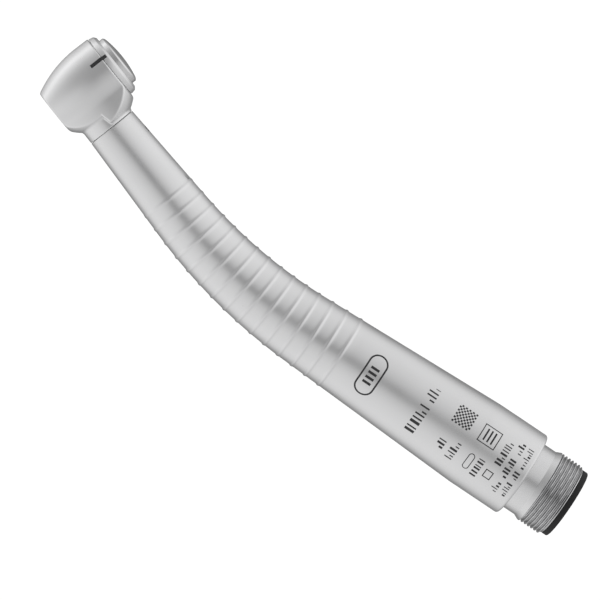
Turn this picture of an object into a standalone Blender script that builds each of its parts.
"""High speed dental handpiece with a push button chuck and a threaded hose coupling.

Row frame: the origin is the centre of the coupling gasket's rear face, +X points out of the
handpiece along the coupling, towards the hose, and +Z is the side that the push button is on.
Everything is symmetric about the plane Y = 0 apart from the jets, the tubes and the thread.

The handle follows a spine: straight through the coupling and the rear of the sleeve, then an arc
that lifts the neck, then straight again up to the head. Distances along the spine are counted
from the head's axis. The head has a frame of its own, whose Z is the spindle's axis.

Lengths are in millimetres and angles in degrees until a mesh is made.
"""

import math

import bmesh
import bpy
from mathutils import Vector

MM = 0.001

# --- Spine ---------------------------------------------------------------------------------
NECK_STRAIGHT = 25.7
BEND_RADIUS = 87.5
BEND_ANGLE = 17.5
REAR_STRAIGHT = 49.95

# --- Clearances ----------------------------------------------------------------------------
SEAT_GAP = 0.05
RUNNING_GAP = 0.03
SLIDE_GAP = 0.05
BALL_GAP = 0.06
RACE_FIT = 0.075
COLLET_GAP = 0.02
WEDGE_GAP = 0.07
STUD_GAP = 0.17
BLADE_GAP = 0.3
ROTOR_GAP = 0.4
TUBE_GAP = 0.1
SLEEVE_GAP = 0.08

# --- Sleeve --------------------------------------------------------------------------------
SLEEVE_FRONT_RADIUS = 4.15
SLEEVE_FRONT_CHAMFER = 0.15
SLEEVE_REAR_RADIUS = 7.32
SLEEVE_REAR_LENGTH = 9.15
SLEEVE_END_GAP = 8.6
SLEEVE_END_ROUNDING = 0.9
SLEEVE_WALL = 0.95
SLEEVE_SHOULDER_GAP = 0.6
SLEEVE_HOLLOW_RAMP = 4.0
SLEEVE_SEAT_RAMP = 1.0

RIB_COUNT = 15
RIB_FIRST = 22.0
RIB_PITCH = 2.62
RIB_WIDTH = 0.95
RIB_HEIGHT = 0.16

# --- Turbine bearings: the bearing's own sizes, then how it sits in the head ----------------
BEARING_BORE = 3.175
BEARING_OUTSIDE = 6.35
BEARING_WIDTH = 2.4
BALL_COUNT = 7
BALL_RADIUS = 0.5
RACE_SHOULDER = 0.44
CAGE_HALF_WIDTH = 0.76
SHIELD_THICKNESS = 0.1
SHIELD_INSET = 0.06
CHAMBER_HALF = 2.0
BEARING_INSET = 0.35
BEARING_STOP_THICKNESS = 0.2
BEARING_STOP_WIDTH = 0.875
ORING_SECTION = 0.3
ORING_GROOVE_DEPTH = 0.6
ORING_GROOVE_HALF = 0.35
PRELOAD_WASHER_THICKNESS = 0.15
PRELOAD_WASHER_WIDTH = 0.4
CARRIER_FLOOR = 0.2
CARRIER_HOLE = 1.7

# --- Head shell ----------------------------------------------------------------------------
HEAD_RADIUS = 5.65
HEAD_WAIST_DROP = 2.7
HEAD_TOP_TAPER = 0.05
HEAD_BELLY_RADIUS = 18.5
CHAMBER_WALL = 1.15
CAP_BORE_WALL = 0.7
BOTTOM_OPENING_DEPTH = 0.6
WEB_HALF_WIDTH = 4.85
WEB_MARGIN = 0.34
WEB_BOTTOM = -0.4
KEEL_STEP = 1.2
KEEL_HALF_WIDTH = 3.0
KEEL_RISE = 0.6
KEEL_TOP = 0.6
COLLAR_STEP = 0.03
COLLAR_LENGTH = 2.0
COLLAR_ROOT = 3.0
SPIGOT_LENGTH = 4.2
SPIGOT_WALL = 0.35

# --- Cap and push button -------------------------------------------------------------------
CAP_STEP = 0.3
CAP_SKIRT_DEPTH = 0.35
CAP_SKIRT_WALL = 0.25
CAP_HEIGHT = 1.25
CAP_ROUNDING = 0.35
EDGE = 0.1
BUTTON_TRAVEL = 0.8
BUTTON_FLANGE_HEIGHT = 0.25
BUTTON_FLANGE_WIDTH = 0.35
BUTTON_WALL = 0.35
BUTTON_PROUD = 1.0
BUTTON_CROWN_RISE = 0.5
BUTTON_TOP_THICKNESS = 0.6
BUTTON_SPRING_WIRE = 0.17
BUTTON_SPRING_TURNS = 4

# --- Turbine rotor and chuck ---------------------------------------------------------------
BLADE_COUNT = 9
BLADE_SWEEP = 16.0
HUB_WALL = 0.7125
SPINDLE_PROUD = 0.1
SPINDLE_RECESS = 0.1
CHUCK_WALL = 0.3675
COUNTERBORE_WALL = 0.4675
SHANK_RADIUS = 0.8
COLLET_SLOT = 0.22
COLLET_SLOT_TOP = -1.6
COLLET_GRIP_TOP = -0.6
CHUCK_SHOULDER_BOTTOM = 0.6
CHUCK_SHOULDER_TOP = 1.5
WEDGE_HEAD_HEIGHT = 0.4
WEDGE_STEM_RADIUS = 0.5
WEDGE_TIP_LENGTH = 0.45
WEDGE_FREE_PLAY = 0.45
CHUCK_SPRING_WIRE = 0.12
CHUCK_SPRING_TURNS = 6

# --- Spray ring ----------------------------------------------------------------------------
SPRAY_RING_GAP = 0.3625
SPRAY_RING_HEIGHT = 0.5
SPRAY_HOLE_RADIUS = 0.2
SPRAY_HOLES = 3

# --- Coupling ------------------------------------------------------------------------------
GASKET_LENGTH = 0.95
GASKET_CHAMFER = 0.2
COUPLING_RADIUS = 5.95
COUPLING_BODY_LENGTH = 12.4
COUPLING_FRONT_CHAMFER = 0.3
THREAD_LIFT = 0.05
THREAD_DEPTH = 0.35
THREAD_PITCH = 0.6
THREAD_TURNS = 7
THREAD_RUN_OUT = 0.35
THREAD_REAR = 1.45
COUPLING_ORING_OFFSET = 4.2
LOCK_RING_LENGTH = 1.8
LOCK_RING_WALL = 1.1
LOCK_RING_MARGIN = 2.3
LOCK_SLOT = 1.2
LOCK_SLOT_DEPTH = 0.7
DRIVE_PORT_RADIUS = 1.25
EXHAUST_PORT_RADIUS = 1.55
WATER_PORT_RADIUS = 0.75
CHIP_PORT_DEPTH = 4.0
VALVE_LENGTH = 2.6
VALVE_BORE = 0.3
VALVE_LIP = 1.0
VALVE_TAPER = 0.15

# --- Lines through the handle: offsets are (Y, Z) in a section across the spine ------------
DRIVE_TUBE_RADIUS = 0.95
WATER_TUBE_RADIUS = 0.5
TUBE_WALL = 0.22
TUBE_INSERTION = 2.6
TUBE_START = 0.4
EXHAUST_WAY_RADIUS = 1.05
PLUG_WALL = 0.22
PLUG_LENGTH = 4.4
JET_RADIUS = 0.5
JET_OUTWARD = 0.45
DRIVE_PORT = (2.3, -0.6)
EXHAUST_PORT = (-2.3, -0.6)
WATER_PORT = (0.0, 3.4)
CHIP_PORT = (0.0, -3.8)

# --- Facets --------------------------------------------------------------------------------
ROUND = 24
COARSE = 12
TINY = 8

# --- Spine and sleeve, worked out ----------------------------------------------------------
BEND = math.radians(BEND_ANGLE)
BEND_LENGTH = BEND_RADIUS * BEND
SPINE_LENGTH = NECK_STRAIGHT + BEND_LENGTH + REAR_STRAIGHT
HEAD_ORIGIN = Vector((
    -REAR_STRAIGHT - BEND_RADIUS * math.sin(BEND) - NECK_STRAIGHT * math.cos(BEND),
    0.0,
    BEND_RADIUS * (1 - math.cos(BEND)) + NECK_STRAIGHT * math.sin(BEND),
))
SLEEVE_START = HEAD_RADIUS + COLLAR_LENGTH
SLEEVE_END = SPINE_LENGTH - SLEEVE_END_GAP
SLEEVE_CONE_END = SLEEVE_END - SLEEVE_REAR_LENGTH
SLEEVE_SEAT_RADIUS = SLEEVE_REAR_RADIUS - SLEEVE_WALL
SPIGOT_RADIUS = SLEEVE_FRONT_RADIUS - 2 * SPIGOT_WALL
SPIGOT_END = SLEEVE_START + SPIGOT_LENGTH
NECK_BORE = SPIGOT_RADIUS - SPIGOT_WALL

# --- Heights in the head, worked out from the rotor chamber outwards -----------------------
BEARING_CENTRE = CHAMBER_HALF + BEARING_INSET + BEARING_WIDTH / 2
BEARING_FACE = BEARING_CENTRE + BEARING_WIDTH / 2
GROOVE_INSIDE = BEARING_CENTRE - ORING_GROOVE_HALF
GROOVE_OUTSIDE = BEARING_CENTRE + ORING_GROOVE_HALF
OPENING_TOP = -BEARING_FACE - SEAT_GAP - BEARING_STOP_THICKNESS
HEAD_BOTTOM = OPENING_TOP - BOTTOM_OPENING_DEPTH
WASHER_BOTTOM = BEARING_FACE + SEAT_GAP
WASHER_TOP = WASHER_BOTTOM + PRELOAD_WASHER_THICKNESS
CARRIER_SEAT_TOP = WASHER_TOP + SEAT_GAP
CARRIER_TOP = CARRIER_SEAT_TOP + CARRIER_FLOOR
CAP_SKIRT_BOTTOM = CARRIER_TOP + SEAT_GAP
HEAD_TOP = CAP_SKIRT_BOTTOM + CAP_SKIRT_DEPTH
HEAD_WAIST = HEAD_TOP - HEAD_WAIST_DROP
CAP_SHELF = HEAD_TOP + SEAT_GAP
CAP_TOP = CAP_SHELF + CAP_HEIGHT
FLANGE_BOTTOM = CARRIER_TOP + SEAT_GAP + BUTTON_TRAVEL
FLANGE_TOP = FLANGE_BOTTOM + BUTTON_FLANGE_HEIGHT
BUTTON_RIM = CAP_TOP + BUTTON_PROUD
BUTTON_CROWN = BUTTON_RIM + BUTTON_CROWN_RISE
RECESS_TOP = BUTTON_RIM - BUTTON_TOP_THICKNESS
SPINDLE_TOP = BEARING_FACE + SPINDLE_PROUD
SPINDLE_BOTTOM = HEAD_BOTTOM + SPINDLE_RECESS
WEDGE_TOP = SPINDLE_TOP + SEAT_GAP
WEDGE_HEAD_BOTTOM = WEDGE_TOP - WEDGE_HEAD_HEIGHT
STUD_BOTTOM = WEDGE_TOP + WEDGE_FREE_PLAY
ROTOR_HALF = CHAMBER_HALF - ROTOR_GAP

# --- Radii in the head, worked out ---------------------------------------------------------
CHAMBER_RADIUS = HEAD_RADIUS - CHAMBER_WALL
BLADE_RADIUS = CHAMBER_RADIUS - BLADE_GAP
CAP_BORE = HEAD_RADIUS - CAP_BORE_WALL
CAP_RADIUS = HEAD_RADIUS - CAP_STEP
SKIRT_RADIUS = CAP_BORE - SLIDE_GAP
CAP_CHAMBER = SKIRT_RADIUS - CAP_SKIRT_WALL
FLANGE_RADIUS = CAP_CHAMBER - SLIDE_GAP
BUTTON_RADIUS = FLANGE_RADIUS - BUTTON_FLANGE_WIDTH
RECESS_RADIUS = BUTTON_RADIUS - BUTTON_WALL
WEB_SPHERE = math.hypot(HEAD_RADIUS, HEAD_TOP) + WEB_MARGIN
KEEL_SPHERE = HEAD_RADIUS + KEEL_STEP
COLLAR_RADIUS = SLEEVE_FRONT_RADIUS - COLLAR_STEP
BEARING_RADIUS = BEARING_OUTSIDE / 2
BEARING_SEAT = BEARING_RADIUS + RACE_FIT
GROOVE_RADIUS = BEARING_SEAT + ORING_GROOVE_DEPTH
BEARING_STOP = BEARING_RADIUS - BEARING_STOP_WIDTH
BOTTOM_OPENING = BEARING_SEAT - BEARING_INSET
BALL_CIRCLE = (BEARING_BORE + BEARING_OUTSIDE) / 4
SPINDLE_RADIUS = BEARING_BORE / 2
ROTOR_BORE = SPINDLE_RADIUS + RUNNING_GAP
HUB_RADIUS = SPINDLE_RADIUS + HUB_WALL
CHUCK_BORE = SPINDLE_RADIUS - CHUCK_WALL
COLLET_RADIUS = CHUCK_BORE - COLLET_GAP
COUNTERBORE = SPINDLE_RADIUS - COUNTERBORE_WALL
WEDGE_HEAD_RADIUS = COUNTERBORE - WEDGE_GAP
STUD_RADIUS = COUNTERBORE - STUD_GAP

# --- Coupling and lines, worked out --------------------------------------------------------
COUPLING_FRONT = -SLEEVE_END_GAP - COUPLING_BODY_LENGTH
COUPLING_FIT = SLEEVE_SEAT_RADIUS - SLEEVE_GAP
SEAT_FRONT = COUPLING_FRONT - LOCK_RING_LENGTH - LOCK_RING_MARGIN
THREAD_ROOT = COUPLING_RADIUS + THREAD_LIFT
THREAD_CREST = THREAD_ROOT + THREAD_DEPTH
THREAD_FRONT = -THREAD_REAR - THREAD_PITCH * THREAD_TURNS
PLUG_RADIUS = NECK_BORE - SLEEVE_GAP
PLUG_RIM = PLUG_RADIUS - PLUG_WALL
DRIVE_AT_PLUG = (PLUG_RIM - DRIVE_TUBE_RADIUS - TUBE_GAP, 0.0)
EXHAUST_AT_PLUG = (EXHAUST_WAY_RADIUS - PLUG_RIM, 0.0)
WATER_AT_PLUG = (0.0, PLUG_RIM - WATER_TUBE_RADIUS - TUBE_GAP)
CHIP_AT_PLUG = (0.0, -WATER_AT_PLUG[1])


def material(name, colour, roughness, metallic):
    """A Principled BSDF with one colour, roughness and metallic value."""
    made = bpy.data.materials.new(name)
    made.use_nodes = True
    shader = made.node_tree.nodes["Principled BSDF"]
    shader.inputs["Base Color"].default_value = (*colour, 1.0)
    shader.inputs["Roughness"].default_value = roughness
    shader.inputs["Metallic"].default_value = metallic
    made.diffuse_color = (*colour, 1.0)
    return made


def make_materials():
    return {
        "satin_steel": material("satin_steel", (0.72, 0.73, 0.74), 0.36, 1.0),
        "turned_steel": material("turned_steel", (0.62, 0.63, 0.65), 0.25, 1.0),
        "bright_steel": material("bright_steel", (0.78, 0.79, 0.80), 0.12, 1.0),
        "spring_steel": material("spring_steel", (0.50, 0.51, 0.53), 0.30, 1.0),
        "rotor_alloy": material("rotor_alloy", (0.55, 0.58, 0.62), 0.35, 1.0),
        "cage_polymer": material("cage_polymer", (0.42, 0.26, 0.10), 0.55, 0.0),
        "brass": material("brass", (0.72, 0.55, 0.28), 0.30, 1.0),
        "black_rubber": material("black_rubber", (0.02, 0.02, 0.02), 0.70, 0.0),
    }


def point_at(x, y, z):
    return Vector((x, y, z)) * MM


def spine_frame(distance):
    """The point of the spine at a distance from the head, and its tilt about Y there."""
    bend_end = NECK_STRAIGHT + BEND_LENGTH
    if distance >= bend_end:
        return Vector((distance - SPINE_LENGTH, 0.0, 0.0)), 0.0
    if distance >= NECK_STRAIGHT:
        tilt = (bend_end - distance) / BEND_RADIUS
        point = Vector((-math.sin(tilt), 0.0, 1 - math.cos(tilt))) * BEND_RADIUS
        return point - Vector((REAR_STRAIGHT, 0.0, 0.0)), tilt
    along = Vector((math.cos(BEND), 0.0, -math.sin(BEND)))
    return HEAD_ORIGIN + along * distance, BEND


def spine_place(distance, across, up):
    """A point beside the spine: across is along Y, and up is square to the spine."""
    point, tilt = spine_frame(distance)
    upward = Vector((math.sin(tilt), 0.0, math.cos(tilt)))
    return (point + upward * up + Vector((0.0, across, 0.0))) * MM


def around_z(radius, angle, z):
    return point_at(radius * math.cos(angle), radius * math.sin(angle), z)


def around_spine(radius, angle, distance):
    return spine_place(distance, radius * math.sin(angle), radius * math.cos(angle))


def around_x(radius, angle, x):
    return point_at(x, radius * math.sin(angle), radius * math.cos(angle))


def add_object(name, build_mesh, finish, parent=None, sharp=35.0):
    """An object whose mesh is what build_mesh leaves in a bmesh, closed and facing out."""
    bm = bmesh.new()
    build_mesh(bm)
    bmesh.ops.remove_doubles(bm, verts=bm.verts, dist=1e-7)
    bmesh.ops.recalc_face_normals(bm, faces=bm.faces)
    mesh = bpy.data.meshes.new(name)
    bm.to_mesh(mesh)
    bm.free()
    made = bpy.data.objects.new(name, mesh)
    bpy.context.scene.collection.objects.link(made)
    if finish is None:
        made.hide_render = True
        made.display_type = "WIRE"
    else:
        mesh.materials.append(finish)
        mesh.shade_smooth()
        mesh.set_sharp_from_angle(angle=math.radians(sharp))
    made.parent = parent
    return made


def skin(bm, rows, closed=False, first_cap=False, last_cap=False):
    """Quads between rows of points. A row ends where it starts, or where the next turn starts."""
    grid = [[bm.verts.new(point) for point in row] for row in rows]
    if first_cap:
        bm.faces.new(grid[0][:-1])
    if last_cap:
        bm.faces.new(grid[-1][:-1])
    if closed:
        grid.append(grid[0])
    for row, following in zip(grid, grid[1:]):
        for i in range(len(row) - 1):
            bm.faces.new((row[i], row[i + 1], following[i + 1], following[i]))


def turned(outline, around=around_z, facets=ROUND, phase=0.0):
    """A mesh builder for a turned piece. outline holds (radius, along) points; one that keeps off
    the axis all the way is a ring, and its last point joins its first. phase turns the facets."""
    angles = [2 * math.pi * (i + phase) / facets for i in range(facets + 1)]
    closed = min(radius for radius, _ in outline) > 0
    flat_first = not closed and outline[0][1] == outline[1][1]
    flat_last = not closed and outline[-1][1] == outline[-2][1]
    shown = outline[int(flat_first):len(outline) - int(flat_last)]

    def build(bm):
        rows = [[around(r, a, t) for a in angles] for r, t in shown]
        skin(bm, rows, closed, flat_first, flat_last)

    return build


def arc_points(centre_r, centre_t, radius, start, end, steps):
    """Outline points on an arc, from the start angle to the end angle. 0 is away from the axis."""
    found = []
    for i in range(steps + 1):
        angle = math.radians(start + (end - start) * i / steps)
        found.append((centre_r + radius * math.cos(angle), centre_t + radius * math.sin(angle)))
    return found


def tube(path, radius, inner_radius, facets):
    """A mesh builder for a tube with open ends. path(fraction) gives a point, its across
    direction and its up direction."""
    stations = 12
    angles = [2 * math.pi * i / facets for i in range(facets + 1)]

    def ring(fraction, r):
        point, across, up = path(fraction)
        return [point + (across * math.cos(a) + up * math.sin(a)) * r * MM for a in angles]

    def build(bm):
        outer = [ring(i / stations, radius) for i in range(stations + 1)]
        inner = [ring(i / stations, inner_radius) for i in reversed(range(stations + 1))]
        skin(bm, outer + inner, True)

    return build


def coil(radius, wire, bottom, top, turns, facets=5, steps_per_turn=10):
    """A mesh builder for a compression spring whose end turns lie flat."""
    steps = turns * steps_per_turn
    rise = top - bottom - 2 * wire

    def height(turn):
        free = turns - 1.5
        return bottom + wire + rise * min(max((turn - 0.75) / free, 0.0), 1.0)

    def build(bm):
        rings = []
        for i in range(steps + 1):
            turn = i / steps_per_turn
            angle = 2 * math.pi * turn
            point = around_z(radius, angle, height(turn))
            out = Vector((math.cos(angle), math.sin(angle), 0.0))
            ring = []
            for j in range(facets + 1):
                side = 2 * math.pi * j / facets
                ring.append(point + (out * math.cos(side) + Vector((0, 0, math.sin(side)))) * wire * MM)
            rings.append(ring)
        first = [around_z(radius, 0.0, height(0.0))] * (facets + 1)
        last = [around_z(radius, 2 * math.pi * turns, height(turns))] * (facets + 1)
        skin(bm, [first] + rings + [last])

    return build


def prism(points, faces, bottom, top):
    """A mesh builder for a flat pattern of faces, raised from bottom to top."""

    def build(bm):
        low = [bm.verts.new(point_at(x, y, bottom)) for x, y in points]
        high = [bm.verts.new(point_at(x, y, top)) for x, y in points]
        edges = {}
        for face in faces:
            bm.faces.new([low[i] for i in reversed(face)])
            bm.faces.new([high[i] for i in face])
            for a, b in zip(face, face[1:] + face[:1]):
                edges[(a, b)] = edges.get((a, b), 0) + 1
        for a, b in edges:
            if (b, a) not in edges:
                bm.faces.new((low[a], low[b], high[b], high[a]))

    return build


def box(low, high):
    """A mesh builder for a block between two corners."""
    (x0, y0, z0), (x1, y1, z1) = low, high
    corners = [(x0, y0), (x1, y0), (x1, y1), (x0, y1)]
    return prism(corners, [[0, 1, 2, 3]], z0, z1)


def rod(start, end, radius, facets=ROUND, around=around_x, phase=0.0):
    return turned([(0, start), (radius, start), (radius, end), (0, end)], around, facets, phase)


def drill(start, end, radius, around, facets=COARSE):
    """A cutter for a hole, whose corners keep off the planes of symmetry."""
    return rod(start, end, radius, facets, around, phase=0.5)


def beside_x(offset=(0.0, 0.0)):
    """Places points about a line parallel to the X axis, through an offset (Y, Z) from it."""

    def around(radius, angle, x):
        return point_at(x, offset[0] + radius * math.sin(angle), offset[1] + radius * math.cos(angle))

    return around


def boolean(target, operation, cutter):
    modifier = target.modifiers.new(f"{operation.lower()} {cutter.name}", "BOOLEAN")
    modifier.operation = operation
    modifier.object = cutter
    modifier.solver = "EXACT"


def cut(target, name, build_mesh, parent=None):
    boolean(target, "DIFFERENCE", add_object(f"cut_{name}", build_mesh, None, parent))


def join(target, name, build_mesh, parent=None):
    boolean(target, "UNION", add_object(f"join_{name}", build_mesh, None, parent))


def add_empty(name, location, tilt=0.0, parent=None):
    made = bpy.data.objects.new(name, None)
    made.location = location * MM
    made.rotation_euler.y = tilt
    made.empty_display_size = 0.004
    made.parent = parent
    bpy.context.scene.collection.objects.link(made)
    return made


# --- Sleeve and what it holds --------------------------------------------------------------


def sleeve_radius(distance):
    """The sleeve's outer radius, without the ribs."""
    share = (distance - SLEEVE_START) / (SLEEVE_CONE_END - SLEEVE_START)
    return SLEEVE_FRONT_RADIUS + (SLEEVE_REAR_RADIUS - SLEEVE_FRONT_RADIUS) * min(share, 1.0)


def sleeve_stretch(start, end, count, wall=0.0):
    """Outline points along the sleeve, a wall's thickness below its outside."""
    along = [start + (end - start) * i / (count - 1) for i in range(count)]
    return [(sleeve_radius(s) - wall, s) for s in along]


def sleeve_outline():
    chamfer_end = SLEEVE_START + SLEEVE_FRONT_CHAMFER
    outer = [(SLEEVE_FRONT_RADIUS - SLEEVE_FRONT_CHAMFER, SLEEVE_START)]
    outer += sleeve_stretch(chamfer_end, RIB_FIRST - RIB_WIDTH, 3)
    for i in range(RIB_COUNT):
        crest = RIB_FIRST + RIB_PITCH * i
        for side, lift in ((-0.5, 0.0), (0.0, 1.0), (0.5, 0.0)):
            s = crest + side * RIB_WIDTH
            outer.append((sleeve_radius(s) + lift * RIB_HEIGHT, s))
    last_rib = RIB_FIRST + RIB_PITCH * (RIB_COUNT - 1)
    outer += sleeve_stretch(last_rib + RIB_WIDTH, SLEEVE_CONE_END, 3)
    rounding = SLEEVE_END_ROUNDING
    outer += arc_points(
        SLEEVE_REAR_RADIUS - rounding, SLEEVE_END - rounding, rounding, 0, 90, 3)
    seat_front = SPINE_LENGTH + SEAT_FRONT
    spigot_fit = SPIGOT_RADIUS + SLEEVE_GAP
    shoulder = SPIGOT_END + SLEEVE_SHOULDER_GAP
    hollow = sleeve_stretch(
        shoulder + SLEEVE_HOLLOW_RAMP, seat_front - SLEEVE_SEAT_RAMP, 5, SLEEVE_WALL)
    inner = [(SLEEVE_SEAT_RADIUS, SLEEVE_END), (SLEEVE_SEAT_RADIUS, seat_front)]
    inner += hollow[::-1] + [(spigot_fit, shoulder), (spigot_fit, SLEEVE_START)]
    return outer + inner


def line_path(start_offset, end_offset, start, end):
    """The path of a tube that eases from one offset beside the spine to another."""

    def path(fraction):
        ease = fraction * fraction * (3 - 2 * fraction)
        across = start_offset[0] + (end_offset[0] - start_offset[0]) * ease
        up = start_offset[1] + (end_offset[1] - start_offset[1]) * ease
        distance = start + (end - start) * fraction
        _, tilt = spine_frame(distance)
        upward = Vector((math.sin(tilt), 0.0, math.cos(tilt)))
        return spine_place(distance, across, up), Vector((0.0, 1.0, 0.0)), upward

    return path


def add_sleeve(finish):
    add_object("body_sleeve", turned(sleeve_outline(), around_spine), finish["satin_steel"])


def add_lines(finish):
    start = SLEEVE_START + TUBE_START
    end = SPINE_LENGTH + COUPLING_FRONT + TUBE_INSERTION
    lines = (
        ("drive_air_tube", DRIVE_AT_PLUG, DRIVE_PORT, DRIVE_TUBE_RADIUS),
        ("water_tube", WATER_AT_PLUG, WATER_PORT, WATER_TUBE_RADIUS),
        ("chip_air_tube", CHIP_AT_PLUG, CHIP_PORT, WATER_TUBE_RADIUS),
    )
    for name, at_plug, at_port, radius in lines:
        path = line_path(at_plug, at_port, start, end)
        add_object(name, tube(path, radius, radius - TUBE_WALL, TINY), finish["turned_steel"])


# --- Coupling ------------------------------------------------------------------------------


def thread_rows(angles):
    """Rows of points that follow the thread, between the ends where it fades into the root."""
    steps = 2
    rows = []
    for i in range(-steps, THREAD_TURNS * steps + 1):
        row = []
        for angle in angles:
            turn = i / steps + angle / (2 * math.pi)
            x = min(max(THREAD_FRONT + turn * THREAD_PITCH, THREAD_FRONT), -THREAD_REAR)
            inside = min(x - THREAD_FRONT, -THREAD_REAR - x) / (0.6 * THREAD_PITCH)
            crest = THREAD_DEPTH if i % 2 else 0.0
            row.append(around_x(THREAD_ROOT + crest * min(inside, 1.0), angle, x))
        rows.append(row)
    return rows


def add_coupling(finish):
    angles = [2 * math.pi * i / ROUND for i in range(ROUND + 1)]
    groove = COUPLING_FRONT + COUPLING_ORING_OFFSET
    fit = COUPLING_FIT
    front = [
        (fit - COUPLING_FRONT_CHAMFER, COUPLING_FRONT), (fit, COUPLING_FRONT + COUPLING_FRONT_CHAMFER),
        (fit, groove - ORING_GROOVE_HALF), (fit - ORING_GROOVE_DEPTH, groove - ORING_GROOVE_HALF),
        (fit - ORING_GROOVE_DEPTH, groove + ORING_GROOVE_HALF), (fit, groove + ORING_GROOVE_HALF),
        (fit, -SLEEVE_END_GAP), (COUPLING_RADIUS, -SLEEVE_END_GAP),
        (COUPLING_RADIUS, THREAD_FRONT - THREAD_RUN_OUT),
    ]
    rear_face = -GASKET_LENGTH - SEAT_GAP

    def build(bm):
        rows = [[around_x(r, a, x) for a in angles] for r, x in front]
        rows += thread_rows(angles)
        rows.append([around_x(THREAD_ROOT - 0.02, a, rear_face) for a in angles])
        skin(bm, rows, first_cap=True, last_cap=True)

    body = add_object("coupling_body", build, finish["satin_steel"])
    gasket_outline = [
        (0, -GASKET_LENGTH), (COUPLING_RADIUS, -GASKET_LENGTH), (COUPLING_RADIUS, -GASKET_CHAMFER),
        (COUPLING_RADIUS - GASKET_CHAMFER, 0), (0, 0),
    ]
    gasket = add_object("coupling_gasket", turned(gasket_outline, around_x), finish["black_rubber"])
    ports = (
        ("drive", DRIVE_PORT, DRIVE_PORT_RADIUS), ("exhaust", EXHAUST_PORT, EXHAUST_PORT_RADIUS),
        ("water", WATER_PORT, WATER_PORT_RADIUS),
    )
    for name, offset, radius in ports:
        hole = drill(COUPLING_FRONT - 1, 1, radius, beside_x(offset))
        cut(body, f"{name}_port", hole)
        cut(gasket, f"{name}_gasket_hole", hole)
    chip_end = COUPLING_FRONT + CHIP_PORT_DEPTH
    chip = drill(COUPLING_FRONT - 1, chip_end, WATER_PORT_RADIUS, beside_x(CHIP_PORT))
    cut(body, "chip_port", chip)

    middle = fit - ORING_GROOVE_DEPTH + ORING_SECTION + RUNNING_GAP
    ring = arc_points(middle, groove, ORING_SECTION, 0, 300, 5)
    add_object("coupling_o_ring", turned(ring, around_x), finish["black_rubber"])
    lock_rear = COUPLING_FRONT - SEAT_GAP
    lock_front = lock_rear - LOCK_RING_LENGTH
    lock = [
        (fit, lock_front), (fit, lock_rear), (fit - LOCK_RING_WALL, lock_rear),
        (fit - LOCK_RING_WALL, lock_front),
    ]
    lock_ring = add_object("coupling_lock_ring", turned(lock, around_x), finish["brass"])
    half = LOCK_SLOT / 2
    slot = box((lock_front - 1, -half, -fit - 1), (lock_front + LOCK_SLOT_DEPTH, half, fit + 1))
    cut(lock_ring, "lock_ring_slots", slot)
    valve_front = -GASKET_LENGTH - VALVE_LENGTH - VALVE_LIP
    valve_rear = valve_front + VALVE_LENGTH
    valve_radius = WATER_PORT_RADIUS - SLEEVE_GAP
    valve = [
        (valve_radius, valve_front), (valve_radius, valve_front + VALVE_LIP),
        (valve_radius - VALVE_TAPER, valve_rear), (VALVE_BORE, valve_rear), (VALVE_BORE, valve_front),
    ]
    shape = turned(valve, beside_x(WATER_PORT), COARSE)
    add_object("water_check_valve", shape, finish["black_rubber"])


# --- Head shell ----------------------------------------------------------------------------


def belly_radius(z):
    """The head shell's outer radius: a barrel about the waist, upright above it."""
    drop = max(HEAD_WAIST - z, 0.0)
    return HEAD_RADIUS - HEAD_BELLY_RADIUS + math.sqrt(HEAD_BELLY_RADIUS ** 2 - drop ** 2)


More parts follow.
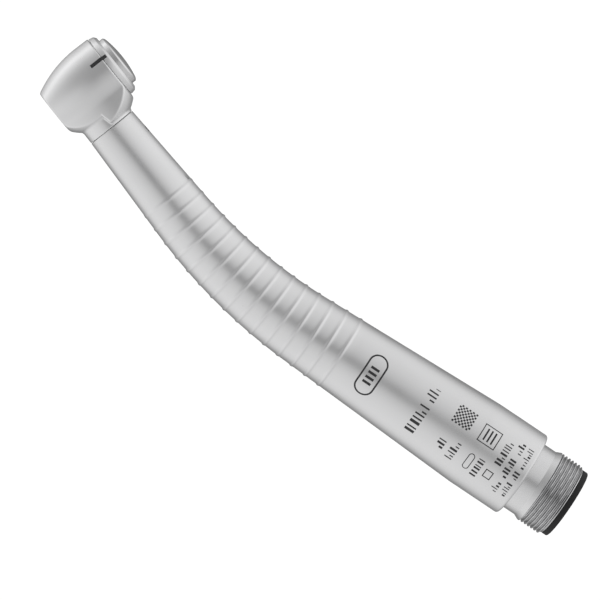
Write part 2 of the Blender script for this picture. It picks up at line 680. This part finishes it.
def add_head_shell(finish, head):
    heights = [HEAD_BOTTOM + (HEAD_WAIST - HEAD_BOTTOM) * i / 6 for i in range(7)]
    outline = [(0, HEAD_BOTTOM)] + [(belly_radius(z), z) for z in heights]
    outline += [(HEAD_RADIUS - HEAD_TOP_TAPER, HEAD_TOP), (0, HEAD_TOP)]
    shell = add_object("head_shell", turned(outline), finish["satin_steel"], head)

    def web(bm):
        sphere_piece(bm, WEB_SPHERE, WEB_HALF_WIDTH, WEB_BOTTOM, HEAD_TOP)

    def keel(bm):
        sphere_piece(bm, KEEL_SPHERE, KEEL_HALF_WIDTH, HEAD_BOTTOM + KEEL_RISE, KEEL_TOP)

    join(shell, "web", web, head)
    join(shell, "keel", keel, head)
    collar = rod(COLLAR_ROOT, SLEEVE_START - SEAT_GAP, COLLAR_RADIUS, ROUND, beside_x())
    join(shell, "collar", collar, head)
    join(shell, "spigot", rod(COLLAR_ROOT, SPIGOT_END, SPIGOT_RADIUS, ROUND, beside_x()), head)

    seat_bottom = -BEARING_FACE - SEAT_GAP
    inside = [
        (0, HEAD_BOTTOM - 1), (BOTTOM_OPENING, HEAD_BOTTOM - 1), (BOTTOM_OPENING, OPENING_TOP),
        (BEARING_STOP, OPENING_TOP), (BEARING_STOP, seat_bottom),
        (BEARING_SEAT, seat_bottom), (BEARING_SEAT, -GROOVE_OUTSIDE), (GROOVE_RADIUS, -GROOVE_OUTSIDE),
        (GROOVE_RADIUS, -GROOVE_INSIDE), (BEARING_SEAT, -GROOVE_INSIDE), (BEARING_SEAT, -CHAMBER_HALF),
        (CHAMBER_RADIUS, -CHAMBER_HALF), (CHAMBER_RADIUS, CHAMBER_HALF), (CAP_BORE, CHAMBER_HALF),
        (CAP_BORE, HEAD_TOP + 1), (0, HEAD_TOP + 1),
    ]
    cut(shell, "head_inside", turned(inside), head)
    bore = rod(HEAD_RADIUS, SPIGOT_END + 1, NECK_BORE, ROUND, beside_x())
    cut(shell, "neck_bore", bore, head)
    reach = CHAMBER_RADIUS - CHAMBER_WALL
    jet = drill(reach, HEAD_RADIUS + 1, JET_RADIUS, beside_x((DRIVE_AT_PLUG[0] + JET_OUTWARD, 0.0)))
    cut(shell, "air_jet", jet, head)
    exhaust = drill(reach, HEAD_RADIUS + 1, EXHAUST_WAY_RADIUS, beside_x(EXHAUST_AT_PLUG))
    cut(shell, "exhaust_way", exhaust, head)


def sphere_piece(bm, radius, half_width, bottom, top):
    """The slice of a sphere about the head's origin between two flats, two heights and X = 0."""
    bmesh.ops.create_uvsphere(bm, u_segments=ROUND, v_segments=16, radius=radius * MM)
    planes = (
        ((0, half_width, 0), (0, 1, 0)), ((0, -half_width, 0), (0, -1, 0)),
        ((0, 0, bottom), (0, 0, -1)), ((0, 0, top), (0, 0, 1)), ((1.0, 0, 0), (-1, 0, 0)),
    )
    for point, normal in planes:
        whole = bm.verts[:] + bm.edges[:] + bm.faces[:]
        cut_made = bmesh.ops.bisect_plane(
            bm, geom=whole, dist=1e-7, plane_co=point_at(*point), plane_no=normal, clear_outer=True)
        rim = [item for item in cut_made["geom_cut"] if isinstance(item, bmesh.types.BMEdge)]
        bmesh.ops.edgeloop_fill(bm, edges=rim)


def add_neck_plug(finish, head):
    front = HEAD_RADIUS + SEAT_GAP
    rear = front + PLUG_LENGTH
    shape = rod(front, rear, PLUG_RADIUS, ROUND, beside_x())
    plug = add_object("neck_plug", shape, finish["brass"], head)
    holes = (
        ("drive", DRIVE_AT_PLUG, DRIVE_TUBE_RADIUS + TUBE_GAP),
        ("exhaust", EXHAUST_AT_PLUG, EXHAUST_WAY_RADIUS),
        ("water", WATER_AT_PLUG, WATER_TUBE_RADIUS + TUBE_GAP),
        ("chip", CHIP_AT_PLUG, WATER_TUBE_RADIUS + TUBE_GAP),
    )
    for name, offset, radius in holes:
        hole = drill(front - 1, rear + 1, radius, beside_x(offset))
        cut(plug, f"plug_{name}_hole", hole, head)


# --- Turbine -------------------------------------------------------------------------------


def add_bearing(label, centre, finish, head, rotor, cage_axis):
    """One deep groove ball bearing: two races, a cage with its balls, and a shield outside."""
    half = BEARING_WIDTH / 2
    groove = BALL_RADIUS + BALL_GAP
    bore = ROTOR_BORE
    inner_shoulder = bore + RACE_SHOULDER
    outer = BEARING_RADIUS
    outer_shoulder = outer - RACE_SHOULDER
    start = math.degrees(math.acos((BALL_CIRCLE - inner_shoulder) / groove))
    inner_groove = arc_points(BALL_CIRCLE, centre, groove, 180 - start, 180 + start, 4)
    inner = [(bore, centre + half), (inner_shoulder, centre + half), *inner_groove,
             (inner_shoulder, centre - half), (bore, centre - half)]
    add_object(f"{label}_inner_race", turned(inner), finish["bright_steel"], rotor)
    start = math.degrees(math.acos((outer_shoulder - BALL_CIRCLE) / groove))
    outer_groove = arc_points(BALL_CIRCLE, centre, groove, -start, start, 4)
    outer_ring = [(outer, centre - half), (outer_shoulder, centre - half), *outer_groove,
                  (outer_shoulder, centre + half), (outer, centre + half)]
    add_object(f"{label}_outer_race", turned(outer_ring), finish["bright_steel"], head)

    cage_inner = inner_shoulder + SLIDE_GAP * 2
    cage_outer = outer_shoulder - SLIDE_GAP * 2
    low = centre - CAGE_HALF_WIDTH
    high = centre + CAGE_HALF_WIDTH
    ring = [(cage_inner, low), (cage_outer, low), (cage_outer, high), (cage_inner, high)]
    round_ring = turned(ring, facets=4 * BALL_COUNT)
    cage = add_object(f"{label}_cage", round_ring, finish["cage_polymer"], cage_axis)
    for i in range(BALL_COUNT):
        angle = 2 * math.pi * i / BALL_COUNT

        def pocket(radius, side, out, turn=angle):
            across = radius * math.cos(side)
            x = out * math.cos(turn) - across * math.sin(turn)
            y = out * math.sin(turn) + across * math.cos(turn)
            return point_at(x, y, centre + radius * math.sin(side))

        hole = drill(SPINDLE_RADIUS, BEARING_RADIUS, groove, pocket, TINY)
        cut(cage, f"{label}_pocket_{i + 1}", hole, cage_axis)
        ball = add_object(f"{label}_ball_{i + 1}", ball_mesh, finish["bright_steel"], cage_axis, 80)
        ball.location = around_z(BALL_CIRCLE, angle, centre)

    outward = math.copysign(1.0, centre)
    face = centre + outward * (half - SHIELD_INSET)
    inside_face = face - outward * SHIELD_THICKNESS
    shield = [
        (inner_shoulder + SLIDE_GAP, inside_face), (outer_shoulder - SLIDE_GAP, inside_face),
        (outer_shoulder - SLIDE_GAP, face), (inner_shoulder + SLIDE_GAP, face),
    ]
    add_object(f"{label}_shield", turned(shield), finish["turned_steel"], head)


def ball_mesh(bm):
    bmesh.ops.create_uvsphere(bm, u_segments=TINY, v_segments=5, radius=BALL_RADIUS * MM)


def rotor_pattern():
    """The turbine wheel seen along its axis: a hub ring, and blades that sweep back."""
    points = []
    faces = []
    step = 360 / BLADE_COUNT
    width = step * 0.34

    def put(radius, angle):
        points.append((radius * math.cos(math.radians(angle)), radius * math.sin(math.radians(angle))))
        return len(points) - 1

    hub = []
    for i in range(BLADE_COUNT):
        for share in (0.0, 0.34, 0.67):
            angle = step * (i + share)
            hub.append((put(ROTOR_BORE, angle), put(HUB_RADIUS, angle)))
    for i, (inner, outer) in enumerate(hub):
        next_inner, next_outer = hub[(i + 1) % len(hub)]
        faces.append([inner, outer, next_outer, next_inner])
    for i in range(BLADE_COUNT):
        before = (hub[3 * i][1], hub[3 * i + 1][1])
        for share in (0.4, 0.75, 1.0):
            radius = HUB_RADIUS + (BLADE_RADIUS - HUB_RADIUS) * share
            lean = step * i + BLADE_SWEEP * share ** 1.6
            pair = (put(radius, lean + width * 0.18 * share), put(radius, lean + width * (1 - 0.5 * share)))
            faces.append([before[0], pair[0], pair[1], before[1]])
            before = pair
    return points, faces


def add_turbine(finish, head, rotor, wedge_axis):
    points, faces = rotor_pattern()
    wheel = prism(points, faces, -ROTOR_HALF, ROTOR_HALF)
    add_object("turbine_rotor", wheel, finish["rotor_alloy"], rotor)
    spindle = [
        (CHUCK_BORE, SPINDLE_BOTTOM), (SPINDLE_RADIUS - EDGE, SPINDLE_BOTTOM),
        (SPINDLE_RADIUS, SPINDLE_BOTTOM + EDGE), (SPINDLE_RADIUS, SPINDLE_TOP),
        (COUNTERBORE, SPINDLE_TOP), (COUNTERBORE, CHUCK_SHOULDER_TOP),
        (WEDGE_STEM_RADIUS + SLIDE_GAP, CHUCK_SHOULDER_TOP),
        (WEDGE_STEM_RADIUS + SLIDE_GAP, CHUCK_SHOULDER_BOTTOM), (CHUCK_BORE, CHUCK_SHOULDER_BOTTOM),
    ]
    add_object("chuck_spindle", turned(spindle), finish["turned_steel"], rotor)
    grip = SHANK_RADIUS + 0.01
    collet_bottom = SPINDLE_BOTTOM + SPINDLE_RECESS
    collet_top = CHUCK_SHOULDER_BOTTOM - 2 * SEAT_GAP
    collet = [
        (grip + EDGE, collet_bottom), (COLLET_RADIUS, collet_bottom), (COLLET_RADIUS, collet_top),
        (COLLET_RADIUS - 0.35, collet_top), (grip / 2, collet_top - 0.6), (grip / 2, COLLET_GRIP_TOP),
        (grip, COLLET_GRIP_TOP), (grip, collet_bottom + EDGE),
    ]
    chuck = add_object("chuck_collet", turned(collet), finish["turned_steel"], rotor)
    for i in range(3):
        slot = box((0.3, -COLLET_SLOT / 2, collet_bottom - 1), (2.0, COLLET_SLOT / 2, COLLET_SLOT_TOP))
        cut(chuck, f"collet_slot_{i + 1}", slot, rotor)
        chuck.modifiers[-1].object.rotation_euler.z = math.radians(7.5 + 120 * i)
    tip = CHUCK_SHOULDER_BOTTOM - SEAT_GAP
    wedge = [
        (0, tip), (0.12, tip), (WEDGE_STEM_RADIUS, tip + WEDGE_TIP_LENGTH),
        (WEDGE_STEM_RADIUS, WEDGE_HEAD_BOTTOM), (WEDGE_HEAD_RADIUS, WEDGE_HEAD_BOTTOM),
        (WEDGE_HEAD_RADIUS, WEDGE_TOP - EDGE), (WEDGE_HEAD_RADIUS - EDGE, WEDGE_TOP), (0, WEDGE_TOP),
    ]
    add_object("chuck_wedge", turned(wedge), finish["turned_steel"], wedge_axis)
    spring = coil(
        (WEDGE_STEM_RADIUS + COUNTERBORE) / 2, CHUCK_SPRING_WIRE, CHUCK_SHOULDER_TOP + COLLET_GAP,
        WEDGE_HEAD_BOTTOM - COLLET_GAP, CHUCK_SPRING_TURNS)
    add_object("chuck_spring", spring, finish["spring_steel"], rotor)
    for label, centre in (("upper", BEARING_CENTRE), ("lower", -BEARING_CENTRE)):
        ring = arc_points(GROOVE_RADIUS - ORING_SECTION - RUNNING_GAP, centre, ORING_SECTION, 0, 300, 5)
        add_object(f"{label}_o_ring", turned(ring), finish["black_rubber"], head)


def add_top(finish, head, button_axis):
    bottom = CHAMBER_HALF + SEAT_GAP
    carrier = [
        (SKIRT_RADIUS, bottom), (SKIRT_RADIUS, CARRIER_TOP), (CARRIER_HOLE, CARRIER_TOP),
        (CARRIER_HOLE, CARRIER_SEAT_TOP), (BEARING_SEAT, CARRIER_SEAT_TOP),
        (BEARING_SEAT, GROOVE_OUTSIDE), (GROOVE_RADIUS, GROOVE_OUTSIDE),
        (GROOVE_RADIUS, GROOVE_INSIDE), (BEARING_SEAT, GROOVE_INSIDE), (BEARING_SEAT, bottom),
    ]
    add_object("bearing_carrier", turned(carrier), finish["brass"], head)
    inner = BEARING_RADIUS - PRELOAD_WASHER_WIDTH
    washer = [
        (BEARING_RADIUS, WASHER_BOTTOM), (BEARING_RADIUS, WASHER_TOP), (inner, WASHER_TOP),
        (inner, WASHER_BOTTOM),
    ]
    add_object("preload_washer", turned(washer), finish["spring_steel"], head)

    lip = BUTTON_RADIUS + SLIDE_GAP
    rounding = arc_points(
        CAP_RADIUS - CAP_ROUNDING, CAP_TOP - CAP_ROUNDING, CAP_ROUNDING, 90, 0, 2)
    lip_bottom = FLANGE_TOP + SEAT_GAP
    cap = [
        (lip, CAP_TOP), *rounding, (CAP_RADIUS, CAP_SHELF), (SKIRT_RADIUS, CAP_SHELF),
        (SKIRT_RADIUS, CAP_SKIRT_BOTTOM), (CAP_CHAMBER, CAP_SKIRT_BOTTOM), (CAP_CHAMBER, lip_bottom),
        (lip, lip_bottom),
    ]
    add_object("head_cap", turned(cap), finish["satin_steel"], head)

    button = [
        (0, STUD_BOTTOM), (STUD_RADIUS, STUD_BOTTOM), (STUD_RADIUS, RECESS_TOP),
        (RECESS_RADIUS, RECESS_TOP), (RECESS_RADIUS, FLANGE_BOTTOM), (FLANGE_RADIUS, FLANGE_BOTTOM),
        (FLANGE_RADIUS, FLANGE_TOP), (BUTTON_RADIUS, FLANGE_TOP), (BUTTON_RADIUS, BUTTON_RIM - EDGE),
        (BUTTON_RADIUS - EDGE, BUTTON_RIM), (BUTTON_RADIUS * 0.7, BUTTON_CROWN - 0.16),
        (BUTTON_RADIUS * 0.35, BUTTON_CROWN - 0.03), (0, BUTTON_CROWN),
    ]
    add_object("push_button", turned(button), finish["satin_steel"], button_axis)
    spring = coil(
        (CARRIER_HOLE + RECESS_RADIUS) / 2 + 0.5, BUTTON_SPRING_WIRE, CARRIER_TOP + COLLET_GAP,
        RECESS_TOP - COLLET_GAP, BUTTON_SPRING_TURNS, 5, 16)
    add_object("button_spring", spring, finish["spring_steel"], head)


def add_spray_ring(finish, head):
    top = OPENING_TOP - SEAT_GAP
    bottom = top - SPRAY_RING_HEIGHT
    outer = BOTTOM_OPENING - SLIDE_GAP
    inner = SPINDLE_RADIUS + SPRAY_RING_GAP
    ring = [(outer, bottom), (outer, top), (inner, top), (inner, bottom)]
    spray_ring = add_object("spray_ring", turned(ring), finish["turned_steel"], head)
    middle = (outer + inner) / 2
    for i in range(SPRAY_HOLES):
        angle = 2 * math.pi * i / SPRAY_HOLES

        def drilled(radius, side, z, turn=angle):
            x = middle * math.cos(turn) + radius * math.cos(side)
            y = middle * math.sin(turn) + radius * math.sin(side)
            return point_at(x, y, z)

        hole = drill(bottom - 1, top + 1, SPRAY_HOLE_RADIUS, drilled, TINY)
        cut(spray_ring, f"spray_hole_{i + 1}", hole, head)


def main():
    for existing in list(bpy.data.objects):
        bpy.data.objects.remove(existing)
    finish = make_materials()
    head = add_empty("head_frame", HEAD_ORIGIN, BEND)
    rotor = add_empty("rotor_axis", Vector(), parent=head)
    wedge_axis = add_empty("wedge_axis", Vector(), parent=rotor)
    button_axis = add_empty("button_axis", Vector(), parent=head)
    upper_cage = add_empty("upper_cage_axis", Vector(), parent=head)
    lower_cage = add_empty("lower_cage_axis", Vector(), parent=head)

    add_sleeve(finish)
    add_lines(finish)
    add_coupling(finish)
    add_head_shell(finish, head)
    add_neck_plug(finish, head)
    add_spray_ring(finish, head)
    add_turbine(finish, head, rotor, wedge_axis)
    add_bearing("upper", BEARING_CENTRE, finish, head, rotor, upper_cage)
    add_bearing("lower", -BEARING_CENTRE, finish, head, rotor, lower_cage)
    add_top(finish, head, button_axis)


main()
